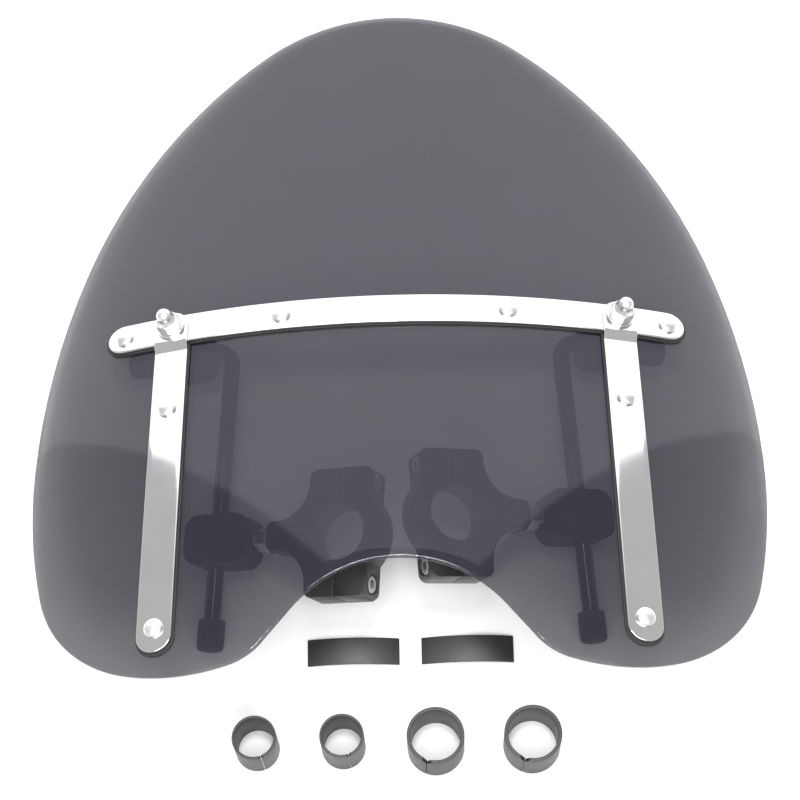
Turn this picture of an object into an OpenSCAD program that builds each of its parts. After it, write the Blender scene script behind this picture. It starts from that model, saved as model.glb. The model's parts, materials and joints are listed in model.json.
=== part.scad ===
// Handlebar windshield: a bowed smoked screen on three straps, hung on two swivelling
// L-shaped rods with handlebar clamps, and the loose adapters that line the clamps.
// The object lies on its back, front face up: X to the right, Y to the screen's top edge.

/* [Screen] */
// Radius of the bow across the screen
bow_x = 545; // [480:5:700]
// Radius of the slight bow up the screen
bow_y = 3000; // [2500:50:4000]
// Thickness of the clear sheet
sheet_t = 3; // [2.5:0.1:3.5]
// Height of the top edge above the middle of the screen
top_y = 342; // [338:0.5:344]
// Scale of the outline, 1 is 436 mm wide
outline_scale = 1; // [0.98:0.01:1.04]

/* [Straps] */
// Width of all three straps
strap_w = 20; // [18:0.5:22]
// Thickness of a strap
strap_t = 2; // [1.5:0.1:2.5]
// Thickness of the gasket under a strap
gasket_t = 1.5; // [1:0.1:2]
// Height of the cross strap above the middle of the screen
cross_y = 80; // [74:1:86]
// Half length of the cross strap
cross_half = 175; // [172:1:180]
// Distance of an upright strap from the middle
upright_x = 134.5; // [130:0.5:138]
// Lowest point of an upright strap
upright_y = -135; // [-137:1:-130]

/* [Rods] */
// Diameter of the bent rods
rod_d = 10; // [9:0.5:10.5]
// Length of the leg that hangs down, from the corner of the bend
leg_l = 184; // [175:1:190]
// Depth of the rod behind the screen's front face
rod_depth = 22; // [21:0.5:25]
// Slope of the hanging leg away from the screen
leg_slope = 16; // [14:1:18]
// Outward lean of the hanging leg
leg_lean = 8; // [6:1:9]
// Place of the left lower knuckle along its leg
left_slide = 122; // [118:1:126]
// Place of the right lower knuckle along its leg
right_slide = 112; // [108:1:118]
// Turn of the lower knuckles about their legs
knuckle_turn = 10; // [6:1:11]

/* [Clamps] */
// Diameter of the clamp's bore
clamp_bore = 33; // [32:0.5:35]
// Length of the clamp along the handlebar
clamp_l = 18; // [14:1:18]
// Distance from the rod to the middle of the clamp's bore
clamp_reach = 84; // [82:1:84]
// Half of the gap between the clamp's two halves
clamp_gap = 0.3; // [0.3:0.05:0.6]

/* [Adapters] */
// Bore of a large sleeve, for a 28.6 mm handlebar
large_bore = 28.6; // [28.6:0.1:29]
// Bore of a small sleeve, for a 22.2 mm handlebar
small_bore = 22.2; // [22.2:0.1:22.6]
// Height of the sleeves
sleeve_h = 28; // [24:1:30]
// Thickness of a lining strip, which fills the gap between the two sleeves
strip_thick = 1.5; // [1.3:0.1:1.6]
// Length of a lining strip
strip_l = 54; // [50:1:60]

/* [Rest] */
// Slope of the screen as it lies on its back
rest_slope = 8.95; // [8.95]
// Height of the middle of the screen above the ground
rest_lift = 75.53; // [75.53]

/* [Hidden] */

rod_r = rod_d / 2;
strap_top = gasket_t + strap_t;
// Gap between a turning or sliding part and its bore, on the radius
running_gap = 0.05;
// Strap bolts on the right half: two on the cross strap, two on the upright strap
bolt_spots = [[164.4, cross_y], [67.8, cross_y], [upright_x, 22], [upright_x, -121]];
// Corner of the bent rod, measured from the mount stud, and its radius
corner_x = -30.3;
bend_r = 10;
// End caps on the rods
cap_r = 8;
cap_l = 18;
// Top of the upper knuckle's boss below the screen's front face
mount_drop = 7.3;
knuckle_size = [34, 30, 25];
// Handlebar clamp, from the middle of its bore: ears along and across the split, ring, neck, screws
ear_reach = 38;
ear_depth = 20;
ring_r = 27;
neck_end = 47;
screw_reach = 30;
// Slot down a sleeve, and the radius that the strips are arched to
split_gap = 0.4;
strip_arch = 100;
// Middle of the screen, which centres the whole object on the origin
middle_y = -73.25;
// Rows of loose adapters, measured from the middle of the screen
large_row = -172;
small_row = -171;
strip_row = -114.5;

// Tangent arcs down the screen's right edge from its top middle, each a radius and a turn:
// top, shoulder, side, lower side, corner, foot of the lobe, inner corner
ARCS = [[130, 40], [360, 33], [490, 17], [335, 15], [80, 60], [110, 30], [35, 35]];
// Straight flank between the lobe and the notch, whose radius closes the edge on the middle
flank = 25;

function heading(i) = i == 0 ? 0 : heading(i - 1) + ARCS[i - 1][1];
function swept(r, a, b) = r * [sin(b) - sin(a), cos(b) - cos(a)];
function arc_start(i) =
  i == 0 ? [0, top_y] : arc_start(i - 1) + swept(ARCS[i - 1][0], heading(i - 1), heading(i));
lobe_end = arc_start(len(ARCS));
notch_turn = heading(len(ARCS)) - 180;
flank_end = lobe_end + flank * [-cos(notch_turn), sin(notch_turn)];
notch_r = flank_end[0] / sin(notch_turn);
notch_y = flank_end[1] + notch_r * (1 - cos(notch_turn));
half_edge = concat(
  [for (i = [0:len(ARCS) - 1]) let (n = ceil(ARCS[i][1] / 5)) for (k = [0:n - 1])
    arc_start(i) + swept(ARCS[i][0], heading(i), heading(i) + ARCS[i][1] * k / n)],
  [lobe_end],
  [for (k = [0:9]) let (a = notch_turn * (1 - k / 10)) [notch_r * sin(a), notch_y - notch_r * (1 - cos(a))]]
);

// ---- places ----

module at_rest() {
  translate([0, middle_y, rest_lift]) rotate([-rest_slope, 0, 0]) children();
}

// A place on the screen's front face, with Z along its normal
module on_screen(x, y) {
  across = asin(x / bow_x);
  reach = bow_y - bow_x + bow_x * cos(across);
  translate([0, 0, -bow_y]) rotate([-asin(y / reach), 0, 0])
    translate([0, 0, bow_y - bow_x]) rotate([0, across, 0]) translate([0, 0, bow_x]) children();
}

// Side pieces are drawn for the right side and mirrored for the left
module side(s) {
  at_rest() mirror([s < 0 ? 1 : 0, 0, 0]) children();
}

module at_mount(s) {
  side(s) on_screen(upright_x, cross_y) children();
}

// X along the rod's upper leg
module at_rod(s) {
  at_mount(s) translate([0, -3, -rod_depth]) rotate([leg_slope, 0, 0]) children();
}

// Y up the rod's hanging leg, origin at the corner
module at_leg(s) {
  at_rod(s) translate([corner_x, 0, 0]) rotate([0, 0, leg_lean]) children();
}

// Origin on the leg's axis, -X towards the clamp
module at_knuckle(s) {
  at_leg(s) translate([0, s < 0 ? -left_slide : -right_slide, 0]) rotate([0, knuckle_turn, 0]) children();
}

// Origin at the middle of the bore, +X towards the rod
module at_clamp(s) {
  at_knuckle(s) translate([-clamp_reach, 0, 0]) children();
}

// ---- shapes ----

module along_x(r, l, fn = 48) {
  rotate([0, 90, 0]) cylinder(r = r, h = l, $fn = fn);
}

module along_y(r, l, fn = 48) {
  rotate([-90, 0, 0]) cylinder(r = r, h = l, $fn = fn);
}

// A slab that follows the screen, between two heights over its front face.
// It turns through 9 degrees up the screen and 5 degrees down it
module bowed(low, high) {
  translate([0, 0, -bow_y]) rotate([0, 90, 0]) rotate([0, 0, 171])
    rotate_extrude(angle = 14, $fn = 720) translate([bow_y - bow_x, 0]) intersection() {
      difference() {
        circle(bow_x + high, $fn = 360);
        circle(bow_x + low, $fn = 360);
      }
      translate([0, -250]) square([bow_x + 40, 500]);
    }
}

module cut_bowed(low, high) {
  intersection() {
    bowed(low, high);
    translate([0, 0, -120]) linear_extrude(160) children();
  }
}

module screen_outline() {
  left = [for (i = [len(half_edge) - 1:-1:1]) [-half_edge[i][0], half_edge[i][1]]];
  scale([outline_scale, outline_scale]) polygon(concat(half_edge, [[0, notch_y]], left));
}

module bar_2d(from, to, w) {
  r = w / 2;
  along = (to - from) / norm(to - from);
  a = from + along * r;
  b = to - along * r;
  mid = (a + b) / 2;
  translate(a) circle(r, $fn = 48);
  translate(b) circle(r, $fn = 48);
  translate(mid) rotate([0, 0, atan2(along[1], along[0])]) square([norm(b - a), w], center = true);
}

module block_2d(size, r) {
  square([size[0] - 2 * r, size[1]], center = true);
  square([size[0], size[1] - 2 * r], center = true);
  for (x = [-1, 1], y = [-1, 1])
    translate([x * (size[0] / 2 - r), y * (size[1] / 2 - r)]) circle(r, $fn = 48);
}

module ring(r_out, r_in, h) {
  difference() {
    cylinder(r = r_out, h = h, $fn = 48);
    translate([0, 0, -1]) cylinder(r = r_in, h = h + 2, $fn = 48);
  }
}

module hex_nut(flats, r_in, h) {
  difference() {
    cylinder(r = flats / sqrt(3), h = h, $fn = 6);
    translate([0, 0, -1]) cylinder(r = r_in, h = h + 2, $fn = 48);
  }
}

// Repeats its children at every strap bolt, on both sides
module at_bolts() {
  at_rest() for (s = [-1, 1], p = bolt_spots) on_screen(s * p[0], p[1]) children();
}

// Straight holes for the strap bolts and the two mount studs
module fixing_holes(bolt_r, stud_r) {
  for (s = [-1, 1]) {
    for (p = bolt_spots)
      on_screen(s * p[0], p[1]) translate([0, 0, -10]) cylinder(r = bolt_r, h = 24, $fn = 32);
    on_screen(s * upright_x, cross_y) translate([0, 0, -10]) cylinder(r = stud_r, h = 24, $fn = 48);
  }
}

// ---- screen and straps ----

module screen() {
  color([0.35, 0.34, 0.38, 0.6]) at_rest() difference() {
    cut_bowed(-sheet_t, 0) screen_outline();
    fixing_holes(2.8, 4.4);
  }
}

module cross_strap() {
  color([0.85, 0.85, 0.86]) at_rest() difference() {
    cut_bowed(gasket_t, strap_top) bar_2d([-cross_half, cross_y], [cross_half, cross_y], strap_w);
    fixing_holes(2.7, 4.3);
  }
}

// Steps up over the cross strap just below it
module upright_strap(s) {
  step_y = cross_y - strap_w / 2 - 4;
  end_y = cross_y + strap_w / 2 + 1.5;
  color([0.85, 0.85, 0.86]) at_rest() difference() {
    union() {
      cut_bowed(gasket_t, strap_top) intersection() {
        bar_2d([s * upright_x, upright_y], [s * upright_x, end_y], strap_w);
        translate([s * upright_x - 20, upright_y - 5]) square([40, step_y - upright_y + 5]);
      }
      cut_bowed(gasket_t, strap_top + strap_t)
        translate([s * upright_x - strap_w / 2, step_y]) square([strap_w, strap_t]);
      cut_bowed(strap_top, strap_top + strap_t) intersection() {
        bar_2d([s * upright_x, upright_y], [s * upright_x, end_y], strap_w);
        translate([s * upright_x - 20, step_y + strap_t]) square([40, end_y - step_y]);
      }
    }
    fixing_holes(2.7, 4.3);
  }
}

module left_strap() { upright_strap(-1); }
module right_strap() { upright_strap(1); }

module cross_gasket() {
  color([0.05, 0.05, 0.05]) at_rest() difference() {
    cut_bowed(0, gasket_t)
      bar_2d([-cross_half - 2, cross_y], [cross_half + 2, cross_y], strap_w + 2);
    fixing_holes(2.7, 4.3);
  }
}

module upright_gasket(s) {
  w = strap_w + 2;
  end_y = cross_y - w / 2 - 0.3;
  color([0.05, 0.05, 0.05]) at_rest() difference() {
    cut_bowed(0, gasket_t) intersection() {
      bar_2d([s * upright_x, upright_y - 2], [s * upright_x, end_y + 20], w);
      translate([s * upright_x - 20, upright_y - 5]) square([40, end_y - upright_y + 5]);
    }
    fixing_holes(2.7, 4.3);
  }
}

module left_gasket() { upright_gasket(-1); }
module right_gasket() { upright_gasket(1); }

// ---- fixings on the screen ----

module dome_2d(r, h) {
  big = (r * r + h * h) / (2 * h);
  intersection() {
    translate([0, h - big]) circle(big, $fn = 96);
    square([r, h]);
  }
}

module strap_bolts() {
  color([0.75, 0.75, 0.77]) at_bolts() {
    translate([0, 0, strap_top + 1]) rotate_extrude($fn = 48) dome_2d(5.6, 2.4);
    translate([0, 0, strap_top + 0.02]) cylinder(r = 5.6, h = 0.98, $fn = 48);
    translate([0, 0, -11]) cylinder(r = 2.5, h = 12 + strap_top, $fn = 32);
  }
}

module strap_washers() {
  color([0.05, 0.05, 0.05]) at_bolts() translate([0, 0, -sheet_t - 1.6]) ring(6.5, 2.6, 1.5);
}

module strap_nuts() {
  color([0.75, 0.75, 0.77]) at_bolts() translate([0, 0, -sheet_t - 5.8]) hex_nut(8, 2.54, 4.1);
}

module at_mounts() {
  for (s = [-1, 1]) at_mount(s) children();
}

module acorn_nuts() {
  base = strap_top + strap_t + 1.7;
  color([0.85, 0.85, 0.86]) at_mounts() translate([0, 0, base]) difference() {
    union() {
      intersection() {
        cylinder(r = 13 / sqrt(3), h = 6.5, $fn = 6);
        cylinder(r1 = 12.5, r2 = 6.6, h = 6.5, $fn = 48);
      }
      translate([0, 0, 6.4]) cylinder(r1 = 6.2, r2 = 4.8, h = 3.7, $fn = 48);
      translate([0, 0, 10.1]) sphere(r = 4.8, $fn = 48);
    }
    translate([0, 0, -1]) cylinder(r = 4.02, h = 9.3, $fn = 48);
  }
}

module acorn_washers() {
  color([0.75, 0.75, 0.77]) at_mounts() translate([0, 0, strap_top + strap_t + 0.03]) ring(8.6, 4.3, 1.6);
}

module mount_seals() {
  color([0.05, 0.05, 0.05]) at_mounts() translate([0, 0, -sheet_t - 2.2]) ring(11, 4.3, 2);
}

module mount_washers() {
  color([0.7, 0.7, 0.72]) at_mounts() translate([0, 0, -sheet_t - 3.8]) ring(9.5, 4.3, 1.5);
}

// ---- upper knuckle ----

module upper_knuckle(s) {
  low = -rod_depth - knuckle_size[2] / 2;
  color([0.1, 0.1, 0.1]) at_mount(s) difference() {
    union() {
      translate([0, 0, low]) linear_extrude(knuckle_size[2])
        block_2d([knuckle_size[0], knuckle_size[1]], 8);
      translate([0, 0, -13]) cylinder(r = 9, h = 13 - mount_drop, $fn = 48);
    }
    translate([-30, -3, -rod_depth]) along_x(rod_r + running_gap, 60);
    translate([0, 0, -15.5]) cylinder(r = 4.02, h = 20, $fn = 48);
    translate([0, -3, low - 1]) cylinder(r = 3.02, h = knuckle_size[2] / 2 - rod_r + 2, $fn = 32);
  }
}

module mount_stud(s) {
  color([0.7, 0.7, 0.72]) at_mount(s) translate([0, 0, -15.4]) cylinder(r = 4, h = 30, $fn = 48);
}

module socket_screw(r, l, socket) {
  difference() {
    cylinder(r = r, h = l, $fn = 32);
    translate([0, 0, -1]) cylinder(r = socket, h = 3.5, $fn = 6);
  }
}

module upper_screw(s) {
  color([0.2, 0.2, 0.2]) at_mount(s) translate([0, -3, -rod_depth - knuckle_size[2] / 2 + 0.5])
    socket_screw(3, knuckle_size[2] / 2 - rod_r - 0.8, 1.6);
}

// ---- rods and their end caps ----

module rod(s) {
  turn = 90 + leg_lean;
  tangent = bend_r * tan(turn / 2);
  color([0.06, 0.06, 0.07]) {
    at_rod(s) translate([corner_x + tangent, 0, 0]) along_x(rod_r, 33.5 - corner_x - tangent);
    at_leg(s) translate([0, -leg_l, 0]) along_y(rod_r, leg_l - tangent);
    at_rod(s) translate([corner_x + tangent, -bend_r, 0]) rotate([0, 0, 89])
      rotate_extrude(angle = turn + 2, $fn = 96) translate([bend_r, 0]) circle(rod_r - 0.05, $fn = 48);
  }
}

// Closed at one end, with its mouth at the origin and its rounded end along Z
module end_cap() {
  difference() {
    union() {
      cylinder(r = cap_r, h = cap_l - 3, $fn = 48);
      translate([0, 0, cap_l - 3]) cylinder(r = cap_r - 3, h = 3, $fn = 48);
      translate([0, 0, cap_l - 3]) rotate_extrude($fn = 48) intersection() {
        translate([cap_r - 3, 0]) circle(3, $fn = 48);
        square([cap_r, 3]);
      }
    }
    translate([0, 0, -1]) cylinder(r = rod_r + running_gap, h = cap_l - 1.6, $fn = 48);
  }
}

module upper_cap(s) {
  color([0.08, 0.08, 0.08]) at_rod(s) translate([18.4, 0, 0]) rotate([0, 90, 0]) end_cap();
}

module lower_cap(s) {
  color([0.08, 0.08, 0.08]) at_leg(s) translate([0, -leg_l + cap_l - 3, 0]) rotate([90, 0, 0]) end_cap();
}

// ---- lower knuckle ----

module liner(s) {
  color([0.15, 0.15, 0.15]) at_knuckle(s) translate([0, -14.5, 0]) difference() {
    along_y(rod_r + 2, 29);
    translate([0, -1, 0]) along_y(rod_r + running_gap, 31);
  }
}

module lower_knuckle(s) {
  color([0.1, 0.1, 0.1]) at_knuckle(s) difference() {
    union() {
      translate([-4, 0, -11]) linear_extrude(22) block_2d([42, 30], 9);
      translate([-26, 0, 0]) along_x(8.5, 4);
    }
    translate([0, -20, 0]) along_y(rod_r + 2 + running_gap, 40);
    translate([-27, 0, 0]) along_x(4 + running_gap, 19.5);
    translate([5, 0, 0]) along_x(3.02, 20);
  }
}

module lower_screw(s) {
  color([0.2, 0.2, 0.2]) at_knuckle(s) translate([16.5, 0, 0]) rotate([0, -90, 0])
    socket_screw(3, 16.5 - rod_r - 2.4, 1.6);
}

module clamp_stud(s) {
  color([0.7, 0.7, 0.72]) at_knuckle(s) translate([30.2 - clamp_reach, 0, 0])
    along_x(4, clamp_reach - 38.7);
}

module jam_nut(s) {
  color([0.75, 0.75, 0.77]) at_knuckle(s) {
    translate([neck_end + 0.1 - clamp_reach, 0, 0]) rotate([0, 90, 0]) ring(8.5, 4.1, 1.5);
    translate([neck_end + 1.7 - clamp_reach, 0, 0]) rotate([0, 90, 0]) hex_nut(13, 4.02, 6.5);
  }
}

// ---- handlebar clamp ----

// The neck tapers to the stud through two hollow curves
module clamp_2d() {
  circle(ring_r, $fn = 96);
  block_2d([2 * ear_depth, 2 * ear_reach], 5);
  difference() {
    translate([ear_depth - 2, -30.5]) square([neck_end - ear_depth - 4, 61]);
    for (y = [-1, 1]) translate([42, y * 30.5]) circle(22, $fn = 96);
  }
  translate([neck_end - 7, 0]) block_2d([14, 17], 4);
  translate([neck_end - 14, -8.5]) square([8, 17]);
}

module clamp_half(keep) {
  difference() {
    translate([0, 0, -clamp_l / 2]) linear_extrude(clamp_l) intersection() {
      clamp_2d();
      translate([keep > 0 ? clamp_gap : -60 - clamp_gap, -50]) square([60, 100]);
    }
    translate([0, 0, -clamp_l]) cylinder(r = clamp_bore / 2, h = 2 * clamp_l, $fn = 96);
    for (y = [-screw_reach, screw_reach]) {
      translate([-30, y, 0]) along_x(3.1, 60);
      translate([-30, y, 0]) along_x(5.6, 16);
      translate([14, y, 0]) rotate([0, 90, 0]) cylinder(r = 5.9, h = 16, $fn = 6);
    }
    translate([30, 0, 0]) along_x(4.02, 40);
  }
}

module clamp_body(s) {
  color([0.09, 0.09, 0.09]) at_clamp(s) clamp_half(1);
}

module clamp_cap(s) {
  color([0.09, 0.09, 0.09]) at_clamp(s) clamp_half(-1);
}

module clamp_screws(s) {
  color([0.75, 0.75, 0.77]) at_clamp(s) for (y = [-screw_reach, screw_reach])
    translate([0, y, 0]) difference() {
      union() {
        translate([-19.7, 0, 0]) along_x(5, 5.4);
        translate([-15, 0, 0]) along_x(3, 34);
      }
      translate([-21, 0, 0]) rotate([0, 90, 0]) cylinder(r = 2.9, h = 4, $fn = 6);
    }
}

module clamp_nuts(s) {
  color([0.75, 0.75, 0.77]) at_clamp(s) for (y = [-screw_reach, screw_reach])
    translate([14.1, y, 0]) rotate([0, 90, 0]) hex_nut(10, 3.03, 4.5);
}

// ---- loose adapters, standing on the ground in front ----

// Split so that it opens over a handlebar, with a V at the top of the split.
// The split is turned about the sleeve from the front
module sleeve(bore, outside, notch, split_turn) {
  wall_y = -(bore + outside) / 4;
  difference() {
    ring(outside / 2, bore / 2, sleeve_h);
    rotate([0, 0, split_turn]) {
      translate([0, wall_y, sleeve_h / 2]) cube([split_gap, 6, sleeve_h + 2], center = true);
      translate([0, wall_y + 3, sleeve_h - notch]) rotate([90, 0, 0]) linear_extrude(6)
        polygon([[-0.2, 0], [0.2, 0], [notch * 0.7, notch + 1], [-notch * 0.7, notch + 1]]);
    }
  }
}

module large_sleeve(x) {
  color([0.28, 0.27, 0.3]) translate([x, middle_y + large_row, 0])
    sleeve(large_bore, clamp_bore - 0.4, 3.5, -20);
}

module small_sleeve(x) {
  color([0.28, 0.27, 0.3]) translate([x, middle_y + small_row, 0])
    sleeve(small_bore, large_bore - 2 * strip_thick - 0.4, 1.2, 20);
}

// A thin strip with its ends resting on the ground and its middle arched up
module strip(x) {
  rise = strip_arch - sqrt(strip_arch * strip_arch - strip_l * strip_l / 4);
  color([0.2, 0.2, 0.22]) translate([x, middle_y + strip_row, rise - strip_arch]) rotate([90, 0, 0])
    linear_extrude(16, center = true) intersection() {
      difference() {
        circle(strip_arch + strip_thick, $fn = 360);
        circle(strip_arch, $fn = 360);
      }
      translate([-strip_l / 2, 0]) square([strip_l, strip_arch + 10]);
    }
}

// ---- the named pieces ----

module left_upper_knuckle() { upper_knuckle(-1); }
module right_upper_knuckle() { upper_knuckle(1); }
module left_mount_stud() { mount_stud(-1); }
module right_mount_stud() { mount_stud(1); }
module left_upper_screw() { upper_screw(-1); }
module right_upper_screw() { upper_screw(1); }
module left_upper_cap() { upper_cap(-1); }
module right_upper_cap() { upper_cap(1); }
module left_rod() { rod(-1); }
module right_rod() { rod(1); }
module left_lower_cap() { lower_cap(-1); }
module right_lower_cap() { lower_cap(1); }
module left_liner() { liner(-1); }
module right_liner() { liner(1); }
module left_lower_knuckle() { lower_knuckle(-1); }
module right_lower_knuckle() { lower_knuckle(1); }
module left_lower_screw() { lower_screw(-1); }
module right_lower_screw() { lower_screw(1); }
module left_clamp_stud() { clamp_stud(-1); }
module right_clamp_stud() { clamp_stud(1); }
module left_jam_nut() { jam_nut(-1); }
module right_jam_nut() { jam_nut(1); }
module left_clamp_body() { clamp_body(-1); }
module right_clamp_body() { clamp_body(1); }
module left_clamp_cap() { clamp_cap(-1); }
module right_clamp_cap() { clamp_cap(1); }
module left_clamp_screws() { clamp_screws(-1); }
module right_clamp_screws() { clamp_screws(1); }
module left_clamp_nuts() { clamp_nuts(-1); }
module right_clamp_nuts() { clamp_nuts(1); }
module left_large_sleeve() { large_sleeve(18.5); }
module right_large_sleeve() { large_sleeve(73.5); }
module left_small_sleeve() { small_sleeve(-84); }
module right_small_sleeve() { small_sleeve(-34.5); }
module left_strip() { strip(-28.5); }
module right_strip() { strip(38.4); }

screen();
cross_strap();
left_strap();
right_strap();
cross_gasket();
left_gasket();
right_gasket();
strap_bolts();
strap_washers();
strap_nuts();
acorn_nuts();
acorn_washers();
mount_seals();
mount_washers();
left_upper_knuckle();
right_upper_knuckle();
left_mount_stud();
right_mount_stud();
left_upper_screw();
right_upper_screw();
left_upper_cap();
right_upper_cap();
left_rod();
right_rod();
left_lower_cap();
right_lower_cap();
left_liner();
right_liner();
left_lower_knuckle();
right_lower_knuckle();
left_lower_screw();
right_lower_screw();
left_clamp_stud();
right_clamp_stud();
left_jam_nut();
right_jam_nut();
left_clamp_body();
right_clamp_body();
left_clamp_cap();
right_clamp_cap();
left_clamp_screws();
right_clamp_screws();
left_clamp_nuts();
right_clamp_nuts();
left_large_sleeve();
right_large_sleeve();
left_small_sleeve();
right_small_sleeve();
left_strip();
right_strip();
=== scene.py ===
import json
import math

import bmesh
import bpy
from mathutils import Matrix, Vector


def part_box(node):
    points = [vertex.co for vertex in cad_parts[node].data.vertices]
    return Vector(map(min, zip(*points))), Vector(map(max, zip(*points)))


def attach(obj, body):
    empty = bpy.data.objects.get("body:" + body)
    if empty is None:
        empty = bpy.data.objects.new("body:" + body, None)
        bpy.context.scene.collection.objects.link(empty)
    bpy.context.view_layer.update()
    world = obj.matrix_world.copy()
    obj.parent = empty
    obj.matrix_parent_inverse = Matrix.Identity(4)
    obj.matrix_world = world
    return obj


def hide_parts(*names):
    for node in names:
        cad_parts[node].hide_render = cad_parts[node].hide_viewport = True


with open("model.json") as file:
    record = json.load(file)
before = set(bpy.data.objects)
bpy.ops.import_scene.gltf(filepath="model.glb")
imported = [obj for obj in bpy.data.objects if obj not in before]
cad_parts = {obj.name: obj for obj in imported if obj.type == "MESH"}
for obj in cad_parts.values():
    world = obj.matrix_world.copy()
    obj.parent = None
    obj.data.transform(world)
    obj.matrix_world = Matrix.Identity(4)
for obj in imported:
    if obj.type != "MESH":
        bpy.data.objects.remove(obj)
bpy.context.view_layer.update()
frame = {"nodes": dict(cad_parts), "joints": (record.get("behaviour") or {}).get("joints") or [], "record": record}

# ---- design sizes, in millimetres, the same as in the part's source ----

MM = 0.001
BOW_X = 545
BOW_Y = 3000
SHEET = 3
STRAP_W = 20
STRAP_T = 2
GASKET_T = 1.5
STRAP_TOP = GASKET_T + STRAP_T
GASKET_MARGIN = 1
CROSS_Y = 80
CROSS_HALF = 175
UPRIGHT_X = 134.5
UPRIGHT_Y = -135
BOLT_SPOTS = [(164.4, CROSS_Y), (67.8, CROSS_Y), (UPRIGHT_X, 22), (UPRIGHT_X, -121)]
TOP_Y = 342
# Tangent arcs down the screen's right edge, each a radius and a turn
ARCS = [(130, 40), (360, 33), (490, 17), (335, 15), (80, 60), (110, 30), (35, 35)]
FLANK = 25
# An upright strap starts to rise at this height, over this length, to clear the cross strap
STEP_START = 64.5
STEP_RUN = 4.5
ROD_R = 5
ROD_DEPTH = 22
CORNER_X = -30.3
BEND_R = 10
LEG_LEAN = 8
LEG_L = 184
CAP_R = 8
CAP_L = 18
# Width, height and depth of the two knuckles' blocks
UPPER_BLOCK = (34, 30, 25)
LOWER_BLOCK = (42, 30, 22)
STUD_R = 4
STUD_HOLE_R = 4.1
LOCK_HOLE_R = 3.1
PITCH = 1.25
BORE_R = 16.5
CLAMP_L = 18
CLAMP_GAP = 0.3
CLAMP_REACH = 84
RING_R = 27
EAR_REACH = 38
EAR_DEPTH = 20
NECK_END = 47
SCREW_REACH = 30
SPLIT_GAP = 0.4
STRIP_T = 1.5
STRIP_ARCH = 100
HOLLOW_R = 22
# Inner radius, depth of the V at the top of the split, and the split's turn from the front
SLEEVES = {"large_sleeve": (14.3, 3.5, -20), "small_sleeve": (11.1, 1.2, 20)}
SIDES = {"left": -1, "right": 1}


# ---- places ----


def move(x, y, z):
    return Matrix.Translation((x, y, z))


def turn(axis, degrees):
    return Matrix.Rotation(math.radians(degrees), 4, axis)


def on_screen(x, y):
    """A place on the screen's front face, in the screen's own frame, with Z along its normal."""
    across = math.degrees(math.asin(x / BOW_X))
    reach = BOW_Y - BOW_X + BOW_X * math.cos(math.radians(across))
    back = move(0, 0, -BOW_Y) @ turn("X", -math.degrees(math.asin(y / reach)))
    return back @ move(0, 0, BOW_Y - BOW_X) @ turn("Y", across) @ move(0, 0, BOW_X)


def surface(x, y, height):
    """The point that lies height over the screen's front face at (x, y), with the apex at the origin."""
    return on_screen(x, y) @ Vector((0, 0, height))


def axes(origin, x, y, s):
    """A frame in millimetres from its X and Y. s is -1 for the left side, which is a mirror image."""
    z = x.cross(y).normalized() * s
    m = Matrix((x, y, z)).transposed().to_4x4()
    m.translation = origin / MM
    return m


joints = {j["name"]: j for j in frame["joints"]}
mounts = {m["name"]: m for m in frame["record"]["mounts"]}


def joint_axis(name, s=1):
    return Vector(joints[name]["axis"]).normalized() * s


def side_frames(side):
    """The frames of one side's pieces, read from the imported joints."""
    s = SIDES[side]
    rod_x = joint_axis(side + "_leg_tilt", s)
    mount_z = joint_axis(side + "_mount_swivel", s)
    mount_origin = Vector(joints[side + "_mount_swivel"]["pos_m"]) + 12 * MM * mount_z
    leg_y = -joint_axis(side + "_height_slide")
    rod_z = rod_x.cross(leg_y).normalized() * s
    rod_origin = Vector(joints[side + "_leg_tilt"]["pos_m"])
    knuckle_x = -joint_axis(side + "_clamp_roll", s)
    knuckle_y = -joint_axis(side + "_knuckle_turn", s)
    knuckle_origin = Vector(joints[side + "_knuckle_turn"]["pos_m"])
    clamp_origin = Vector(mounts[side + "_handlebar"]["pos_m"])
    return {
        "mount": axes(mount_origin, rod_x, mount_z.cross(rod_x).normalized() * s, s),
        "rod": axes(rod_origin, rod_x, rod_z.cross(rod_x).normalized() * s, s),
        "leg": axes(rod_origin + CORNER_X * MM * rod_x, leg_y.cross(rod_z).normalized() * s, leg_y, s),
        "knuckle": axes(knuckle_origin, knuckle_x, knuckle_y, s),
        "clamp": axes(clamp_origin, knuckle_x, knuckle_y, s),
    }


PLACE = {side: side_frames(side) for side in SIDES}
REST = PLACE["right"]["mount"] @ on_screen(UPRIGHT_X, CROSS_Y).inverted()


# ---- materials ----


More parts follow.
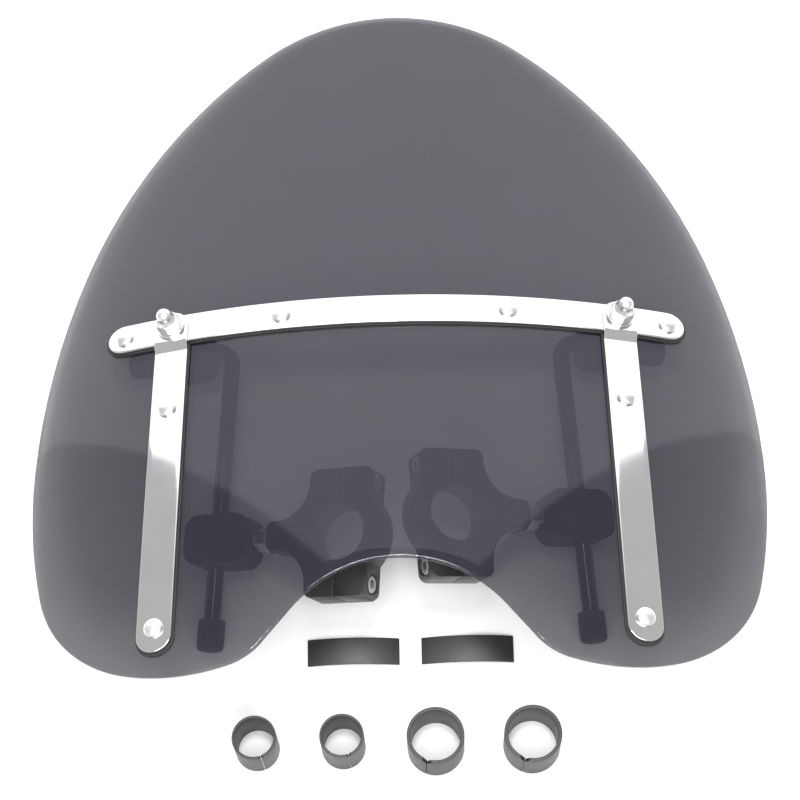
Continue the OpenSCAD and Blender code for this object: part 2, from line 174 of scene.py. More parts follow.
def material(name, dark, light, rough, grain, bump, stretch=(1, 1, 1), **values):
    """A surface whose colour and roughness drift with noise, and whose fine relief is a second noise.

    dark and light are its two colours, rough its lowest and highest roughness,
    grain the relief's scale, and values the shader's own uniform sockets."""
    mat = bpy.data.materials.new(name)
    mat.use_nodes = True
    tree = mat.node_tree
    shader = tree.nodes["Principled BSDF"]
    for socket, value in values.items():
        shader.inputs[socket.replace("_", " ")].default_value = value
    place = tree.nodes.new("ShaderNodeTexCoord")
    scale = tree.nodes.new("ShaderNodeMapping")
    scale.inputs["Scale"].default_value = stretch
    tree.links.new(place.outputs["Object"], scale.inputs["Vector"])
    drift = tree.nodes.new("ShaderNodeTexNoise")
    drift.inputs["Scale"].default_value = 40
    drift.inputs["Detail"].default_value = 6
    tree.links.new(scale.outputs["Vector"], drift.inputs["Vector"])
    colours = tree.nodes.new("ShaderNodeValToRGB")
    colours.color_ramp.elements[0].position = 0.3
    colours.color_ramp.elements[0].color = (*dark, 1)
    colours.color_ramp.elements[1].position = 0.7
    colours.color_ramp.elements[1].color = (*light, 1)
    tree.links.new(drift.outputs["Fac"], colours.inputs["Fac"])
    tree.links.new(colours.outputs["Color"], shader.inputs["Base Color"])
    spread = tree.nodes.new("ShaderNodeMapRange")
    spread.inputs["From Min"].default_value = 0.3
    spread.inputs["From Max"].default_value = 0.7
    spread.inputs["To Min"].default_value = rough[0]
    spread.inputs["To Max"].default_value = rough[1]
    tree.links.new(drift.outputs["Fac"], spread.inputs["Value"])
    tree.links.new(spread.outputs["Result"], shader.inputs["Roughness"])
    fine = tree.nodes.new("ShaderNodeTexNoise")
    fine.inputs["Scale"].default_value = grain
    fine.inputs["Detail"].default_value = 4
    tree.links.new(scale.outputs["Vector"], fine.inputs["Vector"])
    relief = tree.nodes.new("ShaderNodeBump")
    relief.inputs["Strength"].default_value = bump
    relief.inputs["Distance"].default_value = 0.00005
    tree.links.new(fine.outputs["Fac"], relief.inputs["Height"])
    tree.links.new(relief.outputs["Normal"], shader.inputs["Normal"])
    return mat


MATERIALS = {
    "smoked_screen": material(
        "smoked_screen", (0.013, 0.0122, 0.022), (0.017, 0.0157, 0.027), (0.03, 0.05), 12, 0.002,
        Alpha=0.6, IOR=1.49),
    "polished_strap": material(
        "polished_strap", (0.62, 0.61, 0.605), (0.66, 0.65, 0.645), (0.05, 0.08), 900, 0.02,
        Metallic=1.0),
    "bright_steel": material(
        "bright_steel", (0.72, 0.71, 0.7), (0.82, 0.81, 0.8), (0.3, 0.38), 700, 0.03, Metallic=1.0),
    "plated_steel": material(
        "plated_steel", (0.5, 0.5, 0.52), (0.66, 0.66, 0.67), (0.22, 0.38), 900, 0.12, Metallic=1.0),
    "rubber_black": material(
        "rubber_black", (0.008, 0.008, 0.009), (0.02, 0.02, 0.021), (0.55, 0.75), 1500, 0.3),
    "black_casting": material(
        "black_casting", (0.01, 0.01, 0.011), (0.022, 0.022, 0.024), (0.32, 0.5), 2200, 0.12),
    "black_steel": material(
        "black_steel", (0.03, 0.03, 0.032), (0.07, 0.07, 0.075), (0.3, 0.45), 1200, 0.1, Metallic=1.0),
    "black_rod": material(
        "black_rod", (0.05, 0.05, 0.058), (0.07, 0.07, 0.08), (0.12, 0.2), 200, 0.02, Metallic=1.0),
    "black_plastic": material(
        "black_plastic", (0.012, 0.012, 0.012), (0.028, 0.028, 0.029), (0.3, 0.48), 1600, 0.08),
    "nylon": material("nylon", (0.06, 0.06, 0.06), (0.1, 0.1, 0.1), (0.45, 0.6), 900, 0.1),
    "adapter_rubber": material(
        "adapter_rubber", (0.012, 0.011, 0.013), (0.02, 0.018, 0.022), (0.42, 0.52), 1300, 0.12),
}


# ---- mesh building ----


def circle(r, steps, z):
    angles = [2 * math.pi * k / steps for k in range(steps)]
    return [Vector((r * math.cos(a), r * math.sin(a), z)) for a in angles]


def skin(rings, wrap=False, closed=True, cap=False):
    """Vertices and faces over rings of equal length. wrap joins the last ring to the first."""
    size = len(rings[0])
    verts = [v for ring in rings for v in ring]
    faces = []
    for i in range(len(rings) if wrap else len(rings) - 1):
        a = i * size
        b = (i + 1) % len(rings) * size
        for k in range(size if closed else size - 1):
            n = (k + 1) % size
            faces.append((a + k, a + n, b + n, b + k))
    if cap:
        last = (len(rings) - 1) * size
        faces.append(tuple(range(size)))
        faces.append(tuple(range(last, last + size)))
    return verts, faces


def lathe(profile, steps=64):
    """A solid of revolution about Z. Points with no radius close it."""
    return skin([circle(r, steps, z) for r, z in profile])


def rounded(r_out, r_in, h, edge):
    """A ring's cross section with rounded outer edges, as a closed profile."""
    corner = [math.radians(15 * k) for k in range(7)]
    low = [(r_out - edge + edge * math.sin(a), edge - edge * math.cos(a)) for a in corner]
    high = [(r, h - z) for r, z in reversed(low)]
    return [(r_in, 0)] + low + high + [(r_in, h)]


def washer(r_out, r_in, h, edge=0.3):
    return skin([circle(r, 64, z) for r, z in rounded(r_out, r_in, h, edge)], wrap=True)


def hex_radius(flats, angle):
    near = (angle + math.pi / 6) % (math.pi / 3) - math.pi / 6
    return flats / 2 / math.cos(near)


def hex_circle(r, z, steps=96):
    """A circle whose points line up with a hex_ring's."""
    angles = [2 * math.pi * k / steps + math.pi / 6 for k in range(steps)]
    return [Vector((r * math.cos(a), r * math.sin(a), z)) for a in angles]


def hex_ring(flats, r, z, steps=96):
    """A hexagon that a cone of radius r chamfers."""
    angles = [2 * math.pi * k / steps + math.pi / 6 for k in range(steps)]
    radii = [min(r, hex_radius(flats, a)) for a in angles]
    return [Vector((q * math.cos(a), q * math.sin(a), z)) for q, a in zip(radii, angles)]


def chamfers(flats, h):
    """Radii and heights up a hexagon nut whose corners are turned away at both ends."""
    small = flats * 0.48
    large = flats / math.sqrt(3) + 0.05
    rise = (large - small) * 0.55
    steps = [k / 6 for k in range(7)]
    low = [(small + (large - small) * t, rise * t) for t in steps]
    return low + [(r, h - z) for r, z in reversed(low)]


def hex_nut(flats, r_in, h):
    rings = [hex_circle(r_in, 0)] + [hex_ring(flats, r, z) for r, z in chamfers(flats, h)]
    return skin(rings + [hex_circle(r_in, h)], wrap=True)


def acorn_nut(flats, r_dome, base_h, height):
    """A hexagon base that tapers into a tall slim dome."""
    dome_z = height - r_dome
    base = [hex_ring(flats, r, z) for r, z in chamfers(flats, base_h)]
    rise = [k / 6 for k in range(7)]
    fillet = [hex_circle(r_dome + 1.4 * (1 - t) ** 1.4, base_h + (dome_z - base_h) * t) for t in rise]
    quarter = [math.radians(90 * k / 14) for k in range(15)]
    dome = [hex_circle(r_dome * math.cos(a), dome_z + r_dome * math.sin(a)) for a in quarter]
    return skin([hex_circle(0, 0)] + base + fillet + dome)


def threaded(r, length, pitch):
    """A rod along Z with a true helical thread and tapered ends."""
    steps = 36
    rows = int(length / pitch * 8)
    depth = pitch * 0.45
    rings = [[Vector((0, 0, 0))] * steps]
    for i in range(rows + 1):
        z = length * i / rows
        taper = min(1, z / pitch, (length - z) / pitch)
        ring = []
        for k in range(steps):
            phase = (z / pitch - k / steps) % 1
            q = r - depth * abs(2 * phase - 1) - 0.6 * (1 - taper)
            a = 2 * math.pi * k / steps
            ring.append(Vector((q * math.cos(a), q * math.sin(a), z)))
        rings.append(ring)
    rings.append([Vector((0, 0, length))] * steps)
    return skin(rings)


def place_copies(shape, matrices):
    verts, faces = shape
    all_verts, all_faces = [], []
    for m in matrices:
        start = len(all_verts)
        all_verts += [m @ v for v in verts]
        all_faces += [tuple(start + i for i in f) for f in faces]
    return all_verts, all_faces


def piece(name, shape, matrices, body, slot, nodes, sharp=38):
    """An object in the row's frame from a shape in millimetres, copied to each of the matrices."""
    verts, faces = place_copies(shape, matrices)
    mesh = bpy.data.meshes.new(name)
    mesh.from_pydata([v * MM for v in verts], [], faces)
    bm = bmesh.new()
    bm.from_mesh(mesh)
    bmesh.ops.remove_doubles(bm, verts=bm.verts, dist=2e-6)
    bmesh.ops.dissolve_degenerate(bm, edges=bm.edges, dist=1e-7)
    bmesh.ops.recalc_face_normals(bm, faces=bm.faces)
    bm.to_mesh(mesh)
    bm.free()
    return finish_piece(name, mesh, body, slot, nodes, sharp)


def finish_piece(name, mesh, body, slot, nodes, sharp=38):
    for face in mesh.polygons:
        face.use_smooth = True
    mesh.set_sharp_from_angle(angle=math.radians(sharp))
    mesh.materials.append(MATERIALS[slot])
    obj = bpy.data.objects.new(name, mesh)
    bpy.context.scene.collection.objects.link(obj)
    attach(obj, body)
    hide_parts(*nodes)
    return obj


def prism(outline, low, high):
    size = len(outline)
    verts = [Vector((x, y, low)) for x, y in outline] + [Vector((x, y, high)) for x, y in outline]
    faces = [tuple(range(size)), tuple(range(size, 2 * size))]
    faces += [(k, (k + 1) % size, (k + 1) % size + size, k + size) for k in range(size)]
    return verts, faces


def scratch_object(name, shape, matrix=Matrix.Identity(4)):
    verts, faces = shape
    mesh = bpy.data.meshes.new(name)
    mesh.from_pydata([matrix @ v for v in verts], [], faces)
    bm = bmesh.new()
    bm.from_mesh(mesh)
    bmesh.ops.remove_doubles(bm, verts=bm.verts, dist=1e-4)
    bmesh.ops.recalc_face_normals(bm, faces=bm.faces)
    bm.to_mesh(mesh)
    bm.free()
    obj = bpy.data.objects.new(name, mesh)
    bpy.context.scene.collection.objects.link(obj)
    return obj


def cylinder(r, length, steps=40):
    return skin([circle(r, steps, 0), circle(r, steps, length)], cap=True)


ALONG_X = turn("Y", 90)
ALONG_Y = turn("X", -90)


def machined(name, shape, cuts, edge, matrix, body, slot, nodes):
    """A block with holes cut through it and every edge rounded."""
    work = scratch_object(name + "_work", shape)
    tools = [scratch_object(f"{name}_cut{i}", cut, m) for i, (cut, m) in enumerate(cuts)]
    for tool in tools:
        cut = work.modifiers.new("cut", "BOOLEAN")
        cut.operation = "DIFFERENCE"
        cut.solver = "EXACT"
        cut.object = tool
    soften = work.modifiers.new("soften", "BEVEL")
    soften.width = edge
    soften.segments = 3
    soften.limit_method = "ANGLE"
    soften.angle_limit = math.radians(40)
    soften.use_clamp_overlap = True
    bpy.context.view_layer.update()
    ready = work.evaluated_get(bpy.context.evaluated_depsgraph_get())
    mesh = bpy.data.meshes.new_from_object(ready)
    mesh.name = name
    mesh.transform(Matrix.Scale(MM, 4) @ matrix)
    if matrix.determinant() < 0:
        mesh.flip_normals()
    for obj in [work, *tools]:
        bpy.data.objects.remove(obj)
    return finish_piece(name, mesh, body, slot, nodes)


# ---- screen ----


def right_edge(step=2):
    """The outline's right half, from the top middle down to the notch's middle."""
    points = []
    x, y, heading = 0.0, float(TOP_Y), 0.0
    for radius, bend in ARCS:
        count = bend // step
        for k in range(count):
            a = math.radians(heading + bend * k / count)
            b = math.radians(heading)
            points.append((x + radius * (math.sin(a) - math.sin(b)),
                           y + radius * (math.cos(a) - math.cos(b))))
        a = math.radians(heading + bend)
        b = math.radians(heading)
        x += radius * (math.sin(a) - math.sin(b))
        y += radius * (math.cos(a) - math.cos(b))
        heading += bend
    lean = math.radians(heading - 180)
    for k in range(6):
        points.append((x - FLANK * math.cos(lean) * k / 6, y + FLANK * math.sin(lean) * k / 6))
    x -= FLANK * math.cos(lean)
    y += FLANK * math.sin(lean)
    notch_r = x / math.sin(lean)
    top = y + notch_r * (1 - math.cos(lean))
    for k in range(25):
        a = lean * (1 - k / 24)
        points.append((notch_r * math.sin(a), top - notch_r * (1 - math.cos(a))))
    return points


def screen_edge():
    half = right_edge()
    return half + [(-x, y) for x, y in reversed(half[1:-1])]


def inset(outline, distance):
    """The outline moved inwards along its normals."""
    moved = []
    size = len(outline)
    for k, (x, y) in enumerate(outline):
        before = outline[k - 1]
        after = outline[(k + 1) % size]
        along = Vector((after[0] - before[0], after[1] - before[1])).normalized()
        moved.append((x + along.y * distance, y - along.x * distance))
    return moved


def screen():
    """The bowed sheet, with its whole edge rolled round and polished."""
    outline = screen_edge()
    centre = (0, 60)
    edge = 1.3
    rings = []
    inner = inset(outline, edge)
    rays = [k / 18 for k in range(18)]

    def ray_ring(t, height):
        return [surface(centre[0] + t * (x - centre[0]), centre[1] + t * (y - centre[1]), height)
                for x, y in inner]

    rings += [ray_ring(t, -SHEET) for t in rays]
    for k in range(9):
        a = math.radians(-90 + 180 * k / 8)
        middle = -SHEET / 2 + (SHEET / 2 - edge) * (1 if a > 0 else -1 if a < 0 else 0)
        near = inset(outline, edge * (1 - math.cos(a)))
        rings.append([surface(x, y, middle + edge * math.sin(a)) for x, y in near])
    rings += [ray_ring(t, 0) for t in reversed(rays)]
    piece("screen_sheet", skin(rings), [REST], "screen_frame", "smoked_screen", ["screen"], 60)


# ---- straps and gaskets ----


def stadium(a, b, r, along=90, round_steps=16):
    """A round-ended bar's outline, of radius r about the line from a to b."""
    direction = (b - a).normalized()
    across = Vector((-direction.y, direction.x))
    points = []
    for start, end, sign in ((a, b, 1), (b, a, -1)):
        points += [start.lerp(end, k / along) - across * r * sign for k in range(along)]
        for k in range(round_steps):
            t = math.pi * k / round_steps
            points.append(end - across * r * sign * math.cos(t) + direction * r * sign * math.sin(t))
    return points


def bowed_bar(start, end, width, low, high, edge, lift=lambda y: 0, cut_y=None):
    """A bar that follows the screen. lift raises it along its length, and cut_y ends it square."""
    direction = (end - start).normalized()
    a = start + direction * width / 2
    b = end - direction * width / 2
    full = width / 2
    section = [(full * k / 4 - edge * k / 4, low) for k in range(5)]
    for k in range(1, 6):
        t = math.radians(90 * k / 5)
        section.append((full - edge + edge * math.sin(t), low + edge - edge * math.cos(t)))
    section += [(r, high - (z - low)) for r, z in reversed(section)]

    def ring(r, z):
        points = stadium(a, b, r)
        if cut_y is not None:
            points = [Vector((p.x, min(p.y, cut_y - (full - r) * (0 if r < full - edge else 1))))
                      for p in points]
        return [surface(p.x, p.y, z + lift(p.y)) for p in points]

    return skin([ring(r, z) for r, z in section])


def joggle(y):
    """How far an upright strap is raised where it crosses over the cross strap."""
    t = min(1, max(0, (y - STEP_START) / STEP_RUN))
    return (STRAP_T + 0.05) * t * t * (3 - 2 * t)


def straps():
    cross = (Vector((-CROSS_HALF, CROSS_Y)), Vector((CROSS_HALF, CROSS_Y)))
    shape = bowed_bar(*cross, STRAP_W, GASKET_T, STRAP_TOP, 0.6)
    piece("cross_strap_bar", shape, [REST], "screen_frame", "polished_strap", ["cross_strap"], 60)
    reach = Vector((2 * GASKET_MARGIN, 0))
    gasket_w = STRAP_W + 2 * GASKET_MARGIN
    shape = bowed_bar(cross[0] - reach, cross[1] + reach, gasket_w, 0.02, GASKET_T, 0.4)
    piece("cross_gasket_strip", shape, [REST], "screen_frame", "rubber_black", ["cross_gasket"], 60)
    for side, s in SIDES.items():
        foot = Vector((s * UPRIGHT_X, UPRIGHT_Y))
        head = Vector((s * UPRIGHT_X, CROSS_Y + STRAP_W / 2 + 1.5))
        shape = bowed_bar(foot, head, STRAP_W, GASKET_T, STRAP_TOP, 0.6, lift=joggle)
        piece(side + "_strap_bar", shape, [REST], "screen_frame", "polished_strap", [side + "_strap"], 60)
        shape = bowed_bar(foot - Vector((0, 2 * GASKET_MARGIN)), head, gasket_w, 0.02, GASKET_T, 0.4,
                          cut_y=CROSS_Y - STRAP_W / 2 - 1.3)
        piece(side + "_gasket_strip", shape, [REST], "screen_frame", "rubber_black",
              [side + "_gasket"], 60)


# ---- fixings ----


def dome_bolt():
    """A plain domed head on a shank that runs back through the screen."""
    rise = [math.radians(90 * k / 12) for k in range(13)]
    head = [(5.6 * math.cos(a), STRAP_TOP + 0.9 + 2.5 * math.sin(a)) for a in rise]
    foot = [(2.5, -11), (2.5, STRAP_TOP + 0.1), (5.3, STRAP_TOP + 0.1), (5.6, STRAP_TOP + 0.4)]
    return lathe([(0, -11)] + foot + head)


def fixings():
    bolts = [REST @ on_screen(s * x, y) for s in SIDES.values() for x, y in BOLT_SPOTS]
    acorns = [REST @ on_screen(s * UPRIGHT_X, CROSS_Y) for s in SIDES.values()]
    over = STRAP_TOP + STRAP_T
    frame_body = "screen_frame"

    def raised(places, z):
        return [m @ move(0, 0, z) for m in places]

    piece("dome_bolts", dome_bolt(), bolts, frame_body, "bright_steel", ["strap_bolts"])
    piece("bolt_washers", washer(6.5, 2.6, 1.5), raised(bolts, -SHEET - 1.6), frame_body,
          "rubber_black", ["strap_washers"])
    piece("bolt_nuts", hex_nut(8, 2.54, 4.1), raised(bolts, -SHEET - 5.8), frame_body,
          "plated_steel", ["strap_nuts"], 25)
    piece("dome_nuts", acorn_nut(13, 4.8, 6.5, 14.9), raised(acorns, over + 1.7), frame_body,
          "bright_steel", ["acorn_nuts"], 25)
    piece("dome_washers", washer(8.6, 4.3, 1.6), raised(acorns, over + 0.03), frame_body,
          "plated_steel", ["acorn_washers"])
    piece("seals", washer(11, 4.3, 2, 0.6), raised(acorns, -SHEET - 2.2), frame_body,
          "rubber_black", ["mount_seals"])
    piece("seal_washers", washer(9.5, 4.3, 1.5), raised(acorns, -SHEET - 3.8), frame_body,
          "plated_steel", ["mount_washers"])


# ---- rods, caps and knuckles ----


def round_block(width, height, r, steps=12):
    """A rectangle's outline with round corners."""
    points = []
    corners = ((1, -1, -90), (1, 1, 0), (-1, 1, 90), (-1, -1, 180))
    for sx, sy, start in corners:
        for k in range(steps + 1):
            a = math.radians(start + 90 * k / steps)
            points.append((sx * (width / 2 - r) + r * math.cos(a),
                           sy * (height / 2 - r) + r * math.sin(a)))
    return points


def tube(path, r, steps=40):
    """A round bar along a flat path, with both ends chamfered."""
    points = [Vector(p) for p in path]
    rings = [[points[0]] * steps]
    for i, p in enumerate(points):
        before = points[max(i - 1, 0)]
        after = points[min(i + 1, len(points) - 1)]
        along = (after - before).normalized()
        out = along.cross(Vector((0, 0, 1)))
        q = r - 0.5 if i in (0, len(points) - 1) else r
        angles = [2 * math.pi * k / steps for k in range(steps)]
        rings.append([p + out * q * math.cos(a) + Vector((0, 0, q * math.sin(a))) for a in angles])
    rings.append([points[-1]] * steps)
    return skin(rings)


def rod_path():
    """The rod's middle line in its own frame: along X, round the bend, then down the leaning leg."""
    bend = 90 + LEG_LEAN
    tangent = BEND_R * math.tan(math.radians(bend / 2))
    lean = math.radians(LEG_LEAN)
    path = [(33.5, 0, 0), (33, 0, 0)]
    for k in range(25):
        a = math.radians(bend * k / 24)
        path.append((CORNER_X + tangent - BEND_R * math.sin(a), -BEND_R * (1 - math.cos(a)), 0))
    for distance in (LEG_L - 0.5, LEG_L):
        path.append((CORNER_X + distance * math.sin(lean), -distance * math.cos(lean), 0))
    return path


def end_cap():
    """A rubber cap with its mouth at the origin and its round end along Z."""
    turns = [math.radians(90 * k / 8) for k in range(9)]
    end = [(CAP_R - 3 + 3 * math.cos(a), CAP_L - 3 + 3 * math.sin(a)) for a in turns]
    lip = [(ROD_R + 0.1, 4), (ROD_R + 0.1, 0.4), (ROD_R + 0.5, 0), (CAP_R - 0.6, 0), (CAP_R, 0.6)]
    groove = [(CAP_R, 2.2), (CAP_R - 0.35, 2.7), (CAP_R - 0.35, 3.1), (CAP_R, 3.6)]
    return lathe([(0, 4)] + lip + groove + end + [(0, CAP_L)])


def upper_knuckle(side):
    at = PLACE[side]["mount"]
    body = side + "_mount"
    width, height, depth = UPPER_BLOCK
    low = -ROD_DEPTH - depth / 2
    block = prism(round_block(width, height, 8), low, low + depth)
    cuts = [
        (cylinder(ROD_R + 0.1, 60), move(-30, -3, -ROD_DEPTH) @ ALONG_X),
        (cylinder(STUD_HOLE_R, 20), move(0, 0, -15.5)),
        (cylinder(LOCK_HOLE_R, 9), move(0, -3, low - 1)),
    ]
    node = side + "_upper_knuckle"
    machined(side + "_upper_block", block, cuts, 2, at, body, "black_casting", [node])
    piece(side + "_upper_boss", washer(9, STUD_HOLE_R, 5.7, 0.5), [at @ move(0, 0, -13)], body,
          "black_casting", [node])
    piece(side + "_mount_thread", threaded(STUD_R, 28, PITCH), [at @ move(0, 0, -15.4)], body,
          "plated_steel", [side + "_mount_stud"], 60)


def lower_knuckle(side):
    at = PLACE[side]["knuckle"]
    body = side + "_knuckle"
    width, height, depth = LOWER_BLOCK
    outline = [(x - 4, y) for x, y in round_block(width, height, 9)]
    cuts = [
        (cylinder(ROD_R + 2.1, 40), move(0, -20, 0) @ ALONG_Y),
        (cylinder(STUD_HOLE_R, 19), move(-27, 0, 0) @ ALONG_X),
        (cylinder(LOCK_HOLE_R, 20), move(5, 0, 0) @ ALONG_X),
    ]
    node = side + "_lower_knuckle"
    block = prism(outline, -depth / 2, depth / 2)
    machined(side + "_lower_block", block, cuts, 2.5, at, body, "black_casting", [node])
    piece(side + "_lower_boss", washer(8.5, STUD_HOLE_R, 4, 0.5), [at @ move(-26, 0, 0) @ ALONG_X],
          body, "black_casting", [node])


def rods(side):
    at = PLACE[side]
    leg = side + "_leg"
    piece(side + "_bent_rod", tube(rod_path(), ROD_R), [at["rod"]], leg, "black_rod", [side + "_rod"])
    piece(side + "_top_cap", end_cap(), [at["rod"] @ move(18.4, 0, 0) @ ALONG_X], leg,
          "rubber_black", [side + "_upper_cap"])
    piece(side + "_foot_cap", end_cap(), [at["leg"] @ move(0, -LEG_L + CAP_L - 3, 0) @ turn("X", 90)],
          leg, "rubber_black", [side + "_lower_cap"])


# ---- handlebar clamps ----


def arc(x, y, r, start, end, steps):
    """Points on a circle about (x, y), from one angle to the other."""
    angles = [math.radians(start + (end - start) * k / steps) for k in range(steps + 1)]
    return [(x + r * math.cos(a), y + r * math.sin(a)) for a in angles]


def clamp_body_outline():
    """Ears, hollow-sided neck and half of the bore."""
    corner = arc(EAR_DEPTH - 5, EAR_REACH - 5, 5, 90, 0, 6)
    hollow = arc(42, 30.5, HOLLOW_R, 180, 270, 16)
    tip = arc(NECK_END - 4, 4.5, 4, 90, 0, 6)
    upper = [(CLAMP_GAP, EAR_REACH)] + corner + hollow + tip
    bore = arc(0, 0, BORE_R, -89, 89, 36)
    return upper + [(x, -y) for x, y in reversed(upper)] + bore


def clamp_cap_outline():
    """Ears, the ring's round back and the other half of the bore."""
    meet = math.degrees(math.acos(EAR_DEPTH / RING_R))
    corner = arc(-EAR_DEPTH + 5, EAR_REACH - 5, 5, 90, 180, 6)
    back = arc(0, 0, RING_R, 180 - meet, 180 + meet, 20)
    ears = [(-CLAMP_GAP, EAR_REACH)] + corner
    bore = arc(0, 0, BORE_R, 269, 91, 36)
    return ears + back + [(x, -y) for x, y in reversed(ears)] + bore


def clamps(side):
    at = PLACE[side]
    body = side + "_clamp"
    jaw = side + "_jaw"
    half = CLAMP_L / 2
    rows = (-SCREW_REACH, SCREW_REACH)
    holes = [(cylinder(3.1, 60), move(-30, y, 0) @ ALONG_X) for y in rows]
    pockets = [(cylinder(5.9, 16, 6), move(14, y, 0) @ ALONG_X) for y in rows]
    bores = [(cylinder(4.1, 40), move(30, 0, 0) @ ALONG_X)]
    machined(side + "_clamp_half", prism(clamp_body_outline(), -half, half), holes + pockets + bores,
             1.4, at["clamp"], body, "black_plastic", [side + "_clamp_body"])
    pockets = [(cylinder(5.6, 16), move(-30, y, 0) @ ALONG_X) for y in rows]
    machined(side + "_jaw_half", prism(clamp_cap_outline(), -half, half), holes + pockets,
             1.4, at["clamp"], jaw, "black_plastic", [side + "_clamp_cap"])
    screw = cap_screw()
    piece(side + "_jaw_screws", screw, [at["clamp"] @ move(-19.7, y, 0) @ ALONG_X for y in rows], jaw,
          "plated_steel", [side + "_clamp_screws"], 30)
    piece(side + "_jaw_nuts", hex_nut(10, 3.03, 4.5),
          [at["clamp"] @ move(14.1, y, 0) @ ALONG_X for y in rows], body,
          "plated_steel", [side + "_clamp_nuts"], 25)
    reach = CLAMP_REACH
    stud = at["knuckle"] @ move(30.2 - reach, 0, 0) @ ALONG_X
    piece(side + "_stud_thread", threaded(STUD_R, reach - 38.7, PITCH), [stud], body, "plated_steel",
          [side + "_clamp_stud"], 60)
    face = NECK_END - reach
    piece(side + "_jam_washer", washer(8.5, 4.1, 1.5), [at["knuckle"] @ move(face + 0.1, 0, 0) @ ALONG_X],
          body, "plated_steel", [side + "_jam_nut"])
    piece(side + "_jam_hex", hex_nut(13, 4.02, 6.5), [at["knuckle"] @ move(face + 1.7, 0, 0) @ ALONG_X],
          body, "plated_steel", [side + "_jam_nut"], 25)


def cap_screw():
    """A round head with a hexagon socket, on a shank along Z."""
    socket = [hex_ring(5, 9, z) for z in (3, 0)]
    head = [hex_circle(r, z) for r, z in ((4.6, 0), (5, 0.4), (5, 5.1), (4.8, 5.4), (3, 5.4))]
    shank = [hex_circle(r, z) for r, z in ((3, 38), (2.5, 38.6), (0, 38.6))]
    return skin([hex_circle(0, 3)] + socket + head + shank)


# ---- loose sleeves and strips ----


def section_loop(w, h, edge, drop=0.0):
    """A rounded rectangle's points, from -w/2 to w/2 and from 0 to h. drop lowers its top."""
    points = []
    corners = ((1, 0, -90), (1, 1, 0), (-1, 1, 90), (-1, 0, 180))
    for sx, top, start in corners:
        for k in range(5):
            a = math.radians(start + 90 * k / 4)
            y = (h - drop - edge if top else edge) + edge * math.sin(a)
            points.append((sx * (w / 2 - edge) + edge * math.cos(a), y))
    return points


def sleeve(inner, outer, h, notch, split_turn):
    """A sleeve with a tight split, turned about it from the front, and a V at the split's top."""
    wall = outer - inner
    middle = (outer + inner) / 2
    gap = math.degrees(math.asin(SPLIT_GAP / 2 / middle))
    fine = [gap + 0.9 * k for k in range(18)]
    rest = [fine[-1] + (180 - fine[-1]) * k / 40 for k in range(1, 41)]
    turns = fine + rest
    turns += [360 - t for t in reversed(turns[:-1])]
    rings = []
    for t in turns:
        away = math.radians(min(t, 360 - t)) * middle - SPLIT_GAP / 2
        drop = max(0, notch - away / 0.7)
        a = math.radians(-90 + split_turn + t)
        loop = section_loop(wall, h, 0.4, drop)
        rings.append([Vector(((middle + u) * math.cos(a), (middle + u) * math.sin(a), z))
                      for u, z in loop])
    return skin(rings, cap=True)


def strip(length, width, thick, arch):
    """A thin strip with its middle arched up and its ends on the ground."""
    half = math.asin(length / 2 / (arch + thick))
    rise = arch * math.cos(math.asin(length / 2 / arch))
    rings = []
    for k in range(41):
        a = half * (k / 20 - 1)
        loop = section_loop(width, thick, 0.3)
        rings.append([Vector(((arch + z) * math.sin(a), u, (arch + z) * math.cos(a) - rise))
                      for u, z in loop])
    return skin(rings, cap=True)


def centre_of(node):
    """A node's middle at its lowest height, in millimetres."""
    low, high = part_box(node)
    return move((low.x + high.x) / 2 / MM, (low.y + high.y) / 2 / MM, low.z / MM)


def size_of(node):
    low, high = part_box(node)
    return (high - low) / MM


def loose_pieces():
    for side in SIDES:
        for kind, (inner, notch, split_turn) in SLEEVES.items():
            node = f"{side}_{kind}"
            size = size_of(node)
            shape = sleeve(inner, size.x / 2, size.z, notch, split_turn)
            piece(node + "_split", shape, [centre_of(node)], node + "_loose", "adapter_rubber", [node])
        node = side + "_strip"
        size = size_of(node)
        piece(node + "_arch", strip(size.x, size.y, STRIP_T, STRIP_ARCH), [centre_of(node)],
              node + "_loose", "adapter_rubber", [node])


def cad_pieces():
    """The small inner pieces whose CAD shape is already right."""
    kept = {"liner": "nylon", "upper_screw": "black_steel", "lower_screw": "black_steel"}
    for side in SIDES:
        for kind, slot in kept.items():
            mesh = frame["nodes"][f"{side}_{kind}"].data
            mesh.materials.clear()
            mesh.materials.append(MATERIALS[slot])


# ---- floor, light and camera ----


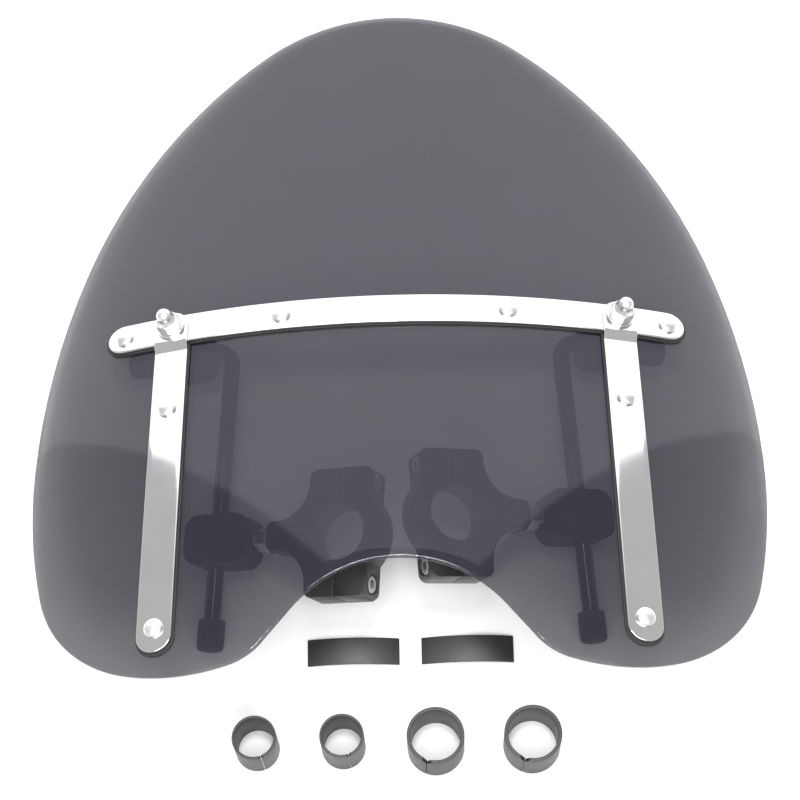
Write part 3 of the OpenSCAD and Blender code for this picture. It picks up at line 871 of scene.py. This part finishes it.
def floor():
    mat = material("pale_floor", (0.9, 0.9, 0.9), (0.93, 0.93, 0.93), (0.7, 0.8), 300, 0.02)
    mesh = bpy.data.meshes.new("floor")
    mesh.from_pydata([(-6, -6, 0), (6, -6, 0), (6, 6, 0), (-6, 6, 0)], [], [(0, 1, 2, 3)])
    mesh.materials.append(mat)
    obj = bpy.data.objects.new("floor", mesh)
    bpy.context.scene.collection.objects.link(obj)


def softbox(name, place, target, width, height, power, spin=0, tint=(1, 1, 1)):
    """A rectangular light aimed at a target, and spun in its own plane by some degrees."""
    light = bpy.data.lights.new(name, "AREA")
    light.shape = "RECTANGLE"
    light.size = width
    light.size_y = height
    light.energy = power
    light.color = tint
    obj = bpy.data.objects.new(name, light)
    aim = Vector(target) - Vector(place)
    facing = aim.to_track_quat("-Z", "Y").to_matrix().to_4x4()
    obj.matrix_world = Matrix.Translation(place) @ facing @ turn("Z", spin)
    bpy.context.scene.collection.objects.link(obj)


def studio():
    world = bpy.data.worlds.new("studio")
    world.use_nodes = True
    background = world.node_tree.nodes["Background"]
    background.inputs["Color"].default_value = (1, 1, 1, 1)
    background.inputs["Strength"].default_value = 0.7
    bpy.context.scene.world = world
    softbox("back_softbox", (0, 1.7, 0.75), (0, 0, 0.75), 3.78, 3.78, 67, spin=45,
            tint=(0.93, 0.92, 1.0))
    softbox("top_softbox", (0, 0.03, 2.2), (0, 0.03, 0), 0.35, 0.35, 30)
    softbox("front_softbox", (0, -1.3, 2.2), (0, 0, 0), 2.4, 1.4, 60)
    bpy.context.scene.view_settings.view_transform = "Standard"


def camera():
    """Above and in front of the object, looking down at it."""
    place = Vector((20.16, -527.05, 1099.36)) * MM
    right = Vector((0.99958, -0.01592, -0.0244)).normalized()
    back = Vector((0.01559, -0.41551, 0.90946)).normalized()
    up = back.cross(right).normalized()
    data = bpy.data.cameras.new("camera")
    data.lens = 87.31
    data.sensor_width = 36
    obj = bpy.data.objects.new("camera", data)
    obj.matrix_world = Matrix.Translation(place) @ Matrix((right, up, back)).transposed().to_4x4()
    bpy.context.scene.collection.objects.link(obj)
    bpy.context.scene.camera = obj


camera()
studio()
floor()
screen()
straps()
fixings()
for side_name in SIDES:
    rods(side_name)
    upper_knuckle(side_name)
    lower_knuckle(side_name)
    clamps(side_name)
loose_pieces()
cad_pieces()
